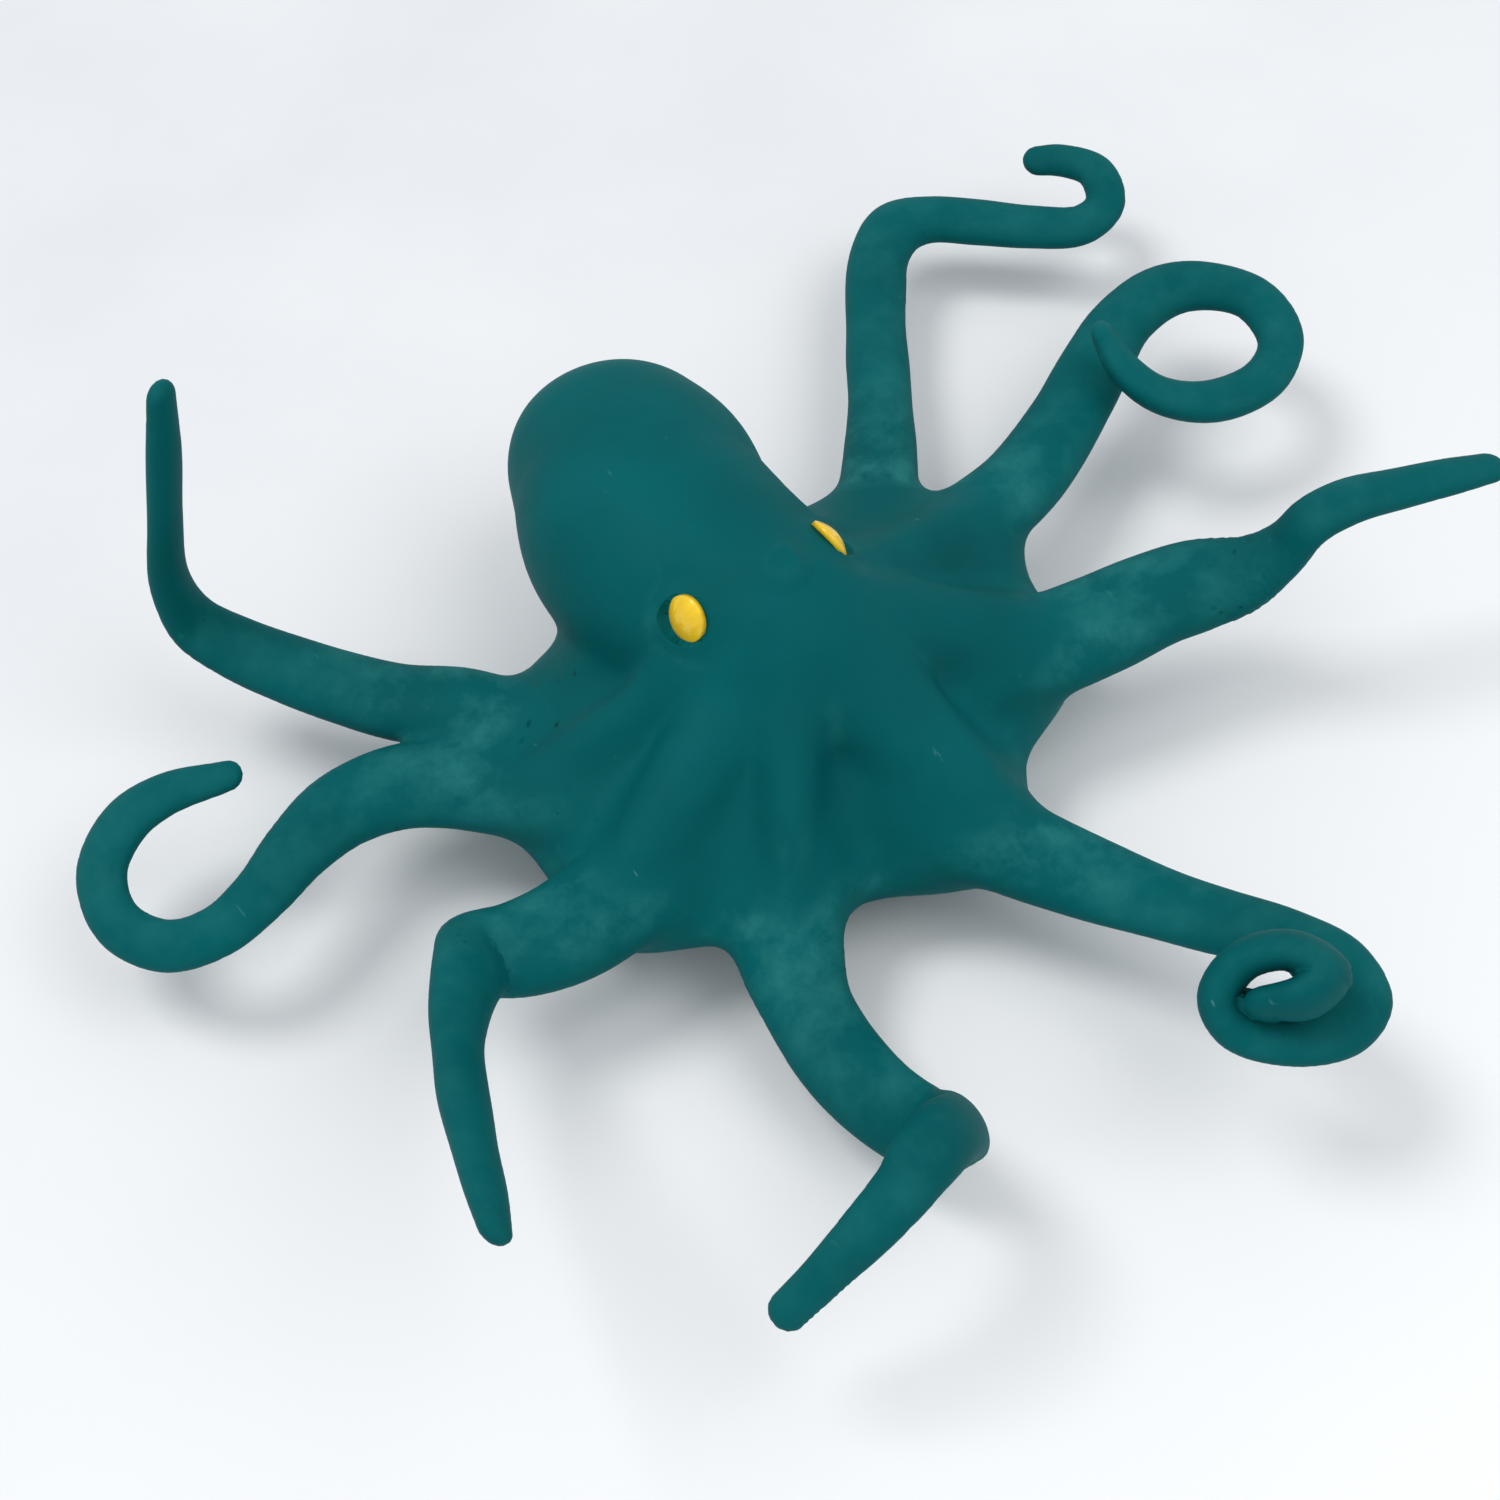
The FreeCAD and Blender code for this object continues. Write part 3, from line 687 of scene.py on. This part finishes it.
def region_of(places):
    # 0 is the torso, and each arm has one number for each of its parts, outwards
    best = in_chunks(body_field, places) + torso_reach
    region = np.zeros(len(places), dtype=int)
    for i, (name, arm) in enumerate(ARMS.items()):
        low, high = ARM_BOXES[name]
        inside = np.all((places > low) & (places < high), axis=1)
        spots = np.flatnonzero(inside)
        value = np.full(len(places), np.inf)
        along = np.zeros(len(places))
        for start in range(0, len(spots), chunk_size):
            chunk = spots[start:start + chunk_size]
            value[chunk], along[chunk] = arm.measure(places[chunk])
        root, knee = arm_marks(name)
        owned = (value < best) | (along > root + root_bend_half) & (value < arm_skin_reach)
        owned = owned & (along > root - root_bend_half - bend_margin)
        best = np.where(owned, value, best)
        bounds = [root + root_bend_half + bend_margin, knee - knee_bend_half - bend_margin,
                  knee + knee_bend_half + bend_margin]
        part = np.searchsorted(bounds, along)
        region = np.where(owned, 1 + len(ARM_PARTS) * i + part, region)
    return region


def skin_piece(name, points, normals, faces):
    used, local = np.unique(np.concatenate(faces), return_inverse=True)
    sizes = [len(f) for f in faces]
    rings = np.split(local, np.cumsum(sizes)[:-1])
    mesh = bpy.data.meshes.new(name)
    mesh.from_pydata((points[used] * MM).tolist(), [], [ring.tolist() for ring in rings])
    mesh.shade_smooth()
    mesh.normals_split_custom_set_from_vertices(normals[used].tolist())
    piece = bpy.data.objects.new(name, mesh)
    bpy.context.collection.objects.link(piece)
    return piece


def add_chalk_highlight(piece, chalk_highlight):
    layer = piece.data.attributes.new("chalk_highlight", "FLOAT", "POINT")
    layer.data.foreach_set("value", chalk_highlight.astype(np.float32))


def srgb(red, green, blue):
    # A screen colour, 0 to 255, as the renderer's linear colour
    shares = [channel / 255 for channel in (red, green, blue)]
    return tuple(((c + 0.055) / 1.055) ** 2.4 if c > 0.04 else c / 12.92 for c in shares)


# Colours
black = (0.0, 0.0, 0.0)
white = (1.0, 1.0, 1.0)
full_chalk_highlight = (0.8, 0.8, 0.8)
full_scuff = (0.45, 0.45, 0.45)
dark_teal = srgb(0, 84, 86)
light_teal = srgb(0, 93, 95)
chalk_highlight_teal = srgb(44, 124, 122)
scuffed_teal = srgb(96, 160, 156)
deep_yellow = srgb(236, 188, 4)
light_yellow = srgb(250, 208, 14)
dark_steel = (0.36, 0.36, 0.37)
light_steel = (0.52, 0.52, 0.53)
dark_plastic = (0.03, 0.03, 0.032)
light_plastic = (0.05, 0.05, 0.053)
gray_paper = srgb(222, 224, 226)
pale_paper = srgb(232, 233, 234)
painted_light_paper = srgb(252, 252, 252)


def new_material(name):
    material = bpy.data.materials.new(name)
    material.use_nodes = True
    nodes = material.node_tree.nodes
    return material, nodes, material.node_tree.links, nodes["Principled BSDF"]


def noise_node(nodes, links, place, scale, detail, roughness=0.5):
    noise = nodes.new("ShaderNodeTexNoise")
    noise.inputs["Scale"].default_value = scale
    noise.inputs["Detail"].default_value = detail
    noise.inputs["Roughness"].default_value = roughness
    links.new(place, noise.inputs["Vector"])
    return noise.outputs["Fac"]


def ramp_node(nodes, links, value, low, high, low_color, high_color):
    ramp = nodes.new("ShaderNodeValToRGB")
    ramp.color_ramp.elements[0].position = low
    ramp.color_ramp.elements[1].position = high
    ramp.color_ramp.elements[0].color = (*low_color, 1)
    ramp.color_ramp.elements[1].color = (*high_color, 1)
    links.new(value, ramp.inputs["Fac"])
    return ramp.outputs["Color"]


def mix_node(nodes, links, share, first, second):
    mix = nodes.new("ShaderNodeMix")
    mix.data_type = "RGBA"
    links.new(share, mix.inputs["Factor"])
    for value, socket in ((first, mix.inputs["A"]), (second, mix.inputs["B"])):
        if isinstance(value, tuple):
            socket.default_value = (*value, 1)
        else:
            links.new(value, socket)
    return mix.outputs["Result"]


def math_node(nodes, links, operation, first, second):
    node = nodes.new("ShaderNodeMath")
    node.operation = operation
    node.use_clamp = True
    for value, socket in ((first, node.inputs[0]), (second, node.inputs[1])):
        if isinstance(value, (int, float)):
            socket.default_value = value
        else:
            links.new(value, socket)
    return node.outputs[0]


def bump_node(nodes, links, height, strength, shader):
    bump = nodes.new("ShaderNodeBump")
    bump.inputs["Strength"].default_value = strength
    bump.inputs["Distance"].default_value = 0.0002
    links.new(height, bump.inputs["Height"])
    links.new(bump.outputs["Normal"], shader.inputs["Normal"])


def rubber():
    # Matte teal rubber: slow mottling, a patchy chalky bloom that is partly a painted highlight, fine
    # grain and a few scuffs
    material, nodes, links, shader = new_material("rubber")
    place = nodes.new("ShaderNodeTexCoord").outputs["Object"]
    mottle = noise_node(nodes, links, place, scale=45, detail=4)
    grain = noise_node(nodes, links, place, scale=2600, detail=3, roughness=0.6)
    chalk_highlight = nodes.new("ShaderNodeAttribute")
    chalk_highlight.attribute_name = "chalk_highlight"
    base = ramp_node(nodes, links, mottle, 0.35, 0.68, dark_teal, light_teal)
    patch = noise_node(nodes, links, place, scale=130, detail=5, roughness=0.65)
    chalk_highlight_patches = ramp_node(nodes, links, patch, 0.42, 0.72, black, full_chalk_highlight)
    chalk_highlight_mask = math_node(nodes, links, "MULTIPLY", chalk_highlight.outputs["Fac"], chalk_highlight_patches)
    # Painted highlight, partly chalky bloom: a lighter teal laid on raised, upward-facing skin
    color = mix_node(nodes, links, chalk_highlight_mask, base, chalk_highlight_teal)
    streak_map = nodes.new("ShaderNodeMapping")
    streak_map.inputs["Scale"].default_value = (1.0, 0.22, 0.5)
    streak_map.inputs["Rotation"].default_value = (0.3, 0.2, 0.8)
    links.new(place, streak_map.inputs["Vector"])
    streaks = noise_node(nodes, links, streak_map.outputs["Vector"], scale=900, detail=2, roughness=0.4)
    spots = noise_node(nodes, links, place, scale=120, detail=2)
    scuff = math_node(nodes, links, "MULTIPLY",
                      ramp_node(nodes, links, streaks, 0.73, 0.79, black, white),
                      ramp_node(nodes, links, spots, 0.58, 0.68, black, full_scuff))
    color = mix_node(nodes, links, scuff, color, scuffed_teal)
    links.new(color, shader.inputs["Base Color"])
    roughness = nodes.new("ShaderNodeMapRange")
    links.new(patch, roughness.inputs["Value"])
    roughness.inputs["To Min"].default_value = 0.50
    roughness.inputs["To Max"].default_value = 0.68
    links.new(roughness.outputs["Result"], shader.inputs["Roughness"])
    shader.inputs["Specular IOR Level"].default_value = 0.05
    bump_node(nodes, links, grain, 0.18, shader)
    return material


def eye_paint():
    # Glossy yellow enamel with faint unevenness
    material, nodes, links, shader = new_material("eye_paint")
    place = nodes.new("ShaderNodeTexCoord").outputs["Object"]
    tone = noise_node(nodes, links, place, scale=420, detail=3)
    color = ramp_node(nodes, links, tone, 0.35, 0.7, deep_yellow, light_yellow)
    links.new(color, shader.inputs["Base Color"])
    ripple = noise_node(nodes, links, place, scale=700, detail=2)
    bump_node(nodes, links, ripple, 0.12, shader)
    shader.inputs["Roughness"].default_value = 0.22
    shader.inputs["Coat Weight"].default_value = 0.4
    shader.inputs["Coat Roughness"].default_value = 0.1
    return material


def drawn_steel():
    material, nodes, links, shader = new_material("drawn_steel")
    place = nodes.new("ShaderNodeTexCoord").outputs["Object"]
    tone = noise_node(nodes, links, place, scale=500, detail=4)
    color = ramp_node(nodes, links, tone, 0.3, 0.7, dark_steel, light_steel)
    links.new(color, shader.inputs["Base Color"])
    shader.inputs["Metallic"].default_value = 1
    shader.inputs["Roughness"].default_value = 0.38
    return material


def hub_plastic():
    material, nodes, links, shader = new_material("hub_plastic")
    place = nodes.new("ShaderNodeTexCoord").outputs["Object"]
    tone = noise_node(nodes, links, place, scale=300, detail=4)
    color = ramp_node(nodes, links, tone, 0.3, 0.7, dark_plastic, light_plastic)
    links.new(color, shader.inputs["Base Color"])
    shader.inputs["Roughness"].default_value = 0.6
    return material


def build_skin(material):
    low, field = grid_field()
    points, quads = surface_net(low, field)
    mesh = refined_near_eyes(points, quads)
    points = np.empty(len(mesh.vertices) * 3)
    mesh.vertices.foreach_get("co", points)
    points = settle(points.reshape(-1, 3), settle_steps)
    normals = slopes_of(points)
    normals = normals / np.linalg.norm(normals, axis=1)[:, None]
    chalk_highlight = chalk_highlight_of(points, normals)
    faces = [np.array(polygon.vertices[:]) for polygon in mesh.polygons]
    places = np.array([points[f].mean(0) for f in faces])
    region = region_of(places)
    order = np.argsort(region, kind="stable")
    names = ["torso_skin"] + [f"arm_{name}_{part}_skin" for name in ARMS for part in ARM_PARTS]
    starts = np.searchsorted(region[order], np.arange(len(names) + 1))
    made = {}
    for i, name in enumerate(names):
        chosen = [faces[k] for k in order[starts[i]:starts[i + 1]]]
        piece = skin_piece(name, points, normals, chosen)
        add_chalk_highlight(piece, chalk_highlight[np.unique(np.concatenate(chosen))])
        piece.data.materials.append(material)
        made[name] = piece
    return made


def chalk_highlight_of(points, normals):
    # How chalky the skin is, partly as a painted highlight: more where it is thin or at the front, less
    # out on the arms and underneath
    deep = in_chunks(skin_field, points - normals * chalk_highlight_depth)
    bulge = deep / chalk_highlight_depth + edge_slope_share
    front = np.clip((front_chalk_highlight_from - points[:, 1]) / front_chalk_highlight_fade, 0, 1)
    raised = np.clip(front_chalk_highlight_share * front + chalk_highlight_gain * bulge, 0, 1)
    # Painted highlight: faces that turn upwards get more of the lighter teal
    upward = np.clip(normals[:, 2] * highlight_tilt_gain - highlight_tilt_loss, 0, 1)
    out = np.clip((np.hypot(points[:, 0], points[:, 1]) - arm_chalk_highlight_from) / arm_chalk_highlight_fade, 0, 1)
    return raised * upward * (1 - out * (1 - arm_chalk_highlight_share))


def join_skin(made):
    torso = made["torso_skin"]
    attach(torso, "torso")
    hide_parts("body_skin")
    for name, arm in ARMS.items():
        inner_body = f"arm_{name}_inner"
        outer_body = f"arm_{name}_outer"
        root_piece = made[f"arm_{name}_root_skin"]
        knee_piece = made[f"arm_{name}_knee_skin"]
        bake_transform(root_piece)
        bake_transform(knee_piece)
        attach(made[f"arm_{name}_inner_skin"], inner_body)
        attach(made[f"arm_{name}_outer_skin"], outer_body)
        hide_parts(f"arm_{name}_root_sleeve")
        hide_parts(f"arm_{name}_inner_sleeve")
        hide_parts(f"arm_{name}_knee_sleeve")
        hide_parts(f"arm_{name}_outer_sleeve")


def build_eye(name, node, eye, material):
    # A domed lens turned about its line of sight, with a softened edge
    middle, look = eye
    dome_radius = (eye_radius ** 2 + eye_dome_height ** 2) / (2 * eye_dome_height)
    profile = [(eye_radius, -eye_seat_depth), (eye_radius - eye_edge_inset, eye_edge_height)]
    for share in EYE_DOME_SHARES:
        radius = eye_radius * share
        sag = dome_radius - math.sqrt(dome_radius ** 2 - radius ** 2)
        profile.append((radius, eye_edge_height + eye_dome_height - sag))
    turn = Vector(look).to_track_quat("Z", "Y").to_matrix()
    points = []
    for radius, height in profile:
        for step in range(eye_segments):
            angle = 2 * math.pi * step / eye_segments
            local = Vector((radius * math.cos(angle), radius * math.sin(angle), height))
            points.append((Vector(middle) + turn @ local) * MM)
    points.append((Vector(middle) + turn @ Vector((0, 0, eye_edge_height + eye_dome_height))) * MM)
    faces = []
    for ring in range(len(profile) - 1):
        for step in range(eye_segments):
            after = (step + 1) % eye_segments
            a = ring * eye_segments
            b = a + eye_segments
            faces.append((a + step, a + after, b + after, b + step))
    top = (len(profile) - 1) * eye_segments
    for step in range(eye_segments):
        faces.append((top + step, top + (step + 1) % eye_segments, len(points) - 1))
    faces.append(tuple(reversed(range(eye_segments))))
    mesh = bpy.data.meshes.new(name)
    mesh.from_pydata(points, [], faces)
    mesh.shade_smooth()
    mesh.materials.append(material)
    piece = bpy.data.objects.new(name, mesh)
    bpy.context.collection.objects.link(piece)
    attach(piece, "torso")
    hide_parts(node)


def dress_armature():
    steel = drawn_steel()
    plastic = hub_plastic()
    for name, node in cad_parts.items():
        if name == "armature_hub" or "wire" in name:
            node.data.materials.clear()
            node.data.materials.append(plastic if name == "armature_hub" else steel)


def floor():
    # Pale paper, whiter towards the front as painted light
    material, nodes, links, shader = new_material("paper")
    place = nodes.new("ShaderNodeTexCoord").outputs["Object"]
    tone = noise_node(nodes, links, place, scale=14, detail=5)
    paper = ramp_node(nodes, links, tone, 0.3, 0.75, gray_paper, pale_paper)
    axes = nodes.new("ShaderNodeSeparateXYZ")
    links.new(place, axes.inputs["Vector"])
    across = nodes.new("ShaderNodeMapRange")
    across.inputs["From Min"].default_value = paper_shade_from
    across.inputs["From Max"].default_value = paper_shade_to
    links.new(axes.outputs["Y"], across.inputs["Value"])
    # Painted light: the paper is mixed towards white towards the front
    color = mix_node(nodes, links, across.outputs["Result"], paper, painted_light_paper)
    links.new(color, shader.inputs["Base Color"])
    shader.inputs["Roughness"].default_value = 0.9
    shader.inputs["Specular IOR Level"].default_value = 0.1
    half = paper_half_side
    corners = [(-half, -half, 0), (half, -half, 0), (half, half, 0), (-half, half, 0)]
    mesh = bpy.data.meshes.new("floor")
    mesh.from_pydata(corners, [], [(0, 1, 2, 3)])
    mesh.materials.append(material)
    piece = bpy.data.objects.new("floor", mesh)
    bpy.context.collection.objects.link(piece)


def lamp(name, place, size, power):
    data = bpy.data.lights.new(name, "AREA")
    data.shape = "DISK"
    data.size = size
    data.energy = power
    light = bpy.data.objects.new(name, data)
    bpy.context.collection.objects.link(light)
    light.location = place
    light.rotation_mode = "QUATERNION"
    light.rotation_quaternion = Vector(place).to_track_quat("Z", "Y")


def light_stage():
    world = bpy.data.worlds.new("world")
    bpy.context.scene.world = world
    world.use_nodes = True
    background = world.node_tree.nodes["Background"]
    background.inputs["Color"].default_value = sky_color
    background.inputs["Strength"].default_value = sky_strength
    for name, data in LAMPS.items():
        lamp(name, **data)


def camera():
    # The photo's viewing direction, with the object's middle at its place in the photo
    azimuth = math.radians(view_azimuth_deg)
    elevation = math.radians(view_elevation_deg)
    back = Vector((math.sin(azimuth) * math.cos(elevation), -math.cos(azimuth) * math.cos(elevation),
                   math.sin(elevation)))
    right = Vector((math.cos(azimuth), math.sin(azimuth), 0))
    up = back.cross(right)
    across = (aim_px[0] - photo_side_px / 2) / focal_px
    down = (aim_px[1] - photo_side_px / 2) / focal_px
    place = Vector(aim_place) + (back - right * across + up * down) * view_distance
    data = bpy.data.cameras.new("camera")
    data.sensor_width = sensor_width
    data.lens = sensor_width * focal_px / photo_side_px
    data.clip_end = view_far_end * MM
    viewer = bpy.data.objects.new("camera", data)
    bpy.context.collection.objects.link(viewer)
    axes = Matrix((right, up, back)).transposed()
    viewer.matrix_world = Matrix.Translation(place * MM) @ axes.to_4x4()
    bpy.context.scene.camera = viewer


skin = build_skin(rubber())
join_skin(skin)
yellow = eye_paint()
build_eye("right_eye_lens", "eye_right", EYES[0], yellow)
build_eye("left_eye_lens", "eye_left", EYES[1], yellow)
dress_armature()
floor()
light_stage()
camera()
bpy.context.scene.view_settings.view_transform = "Standard"
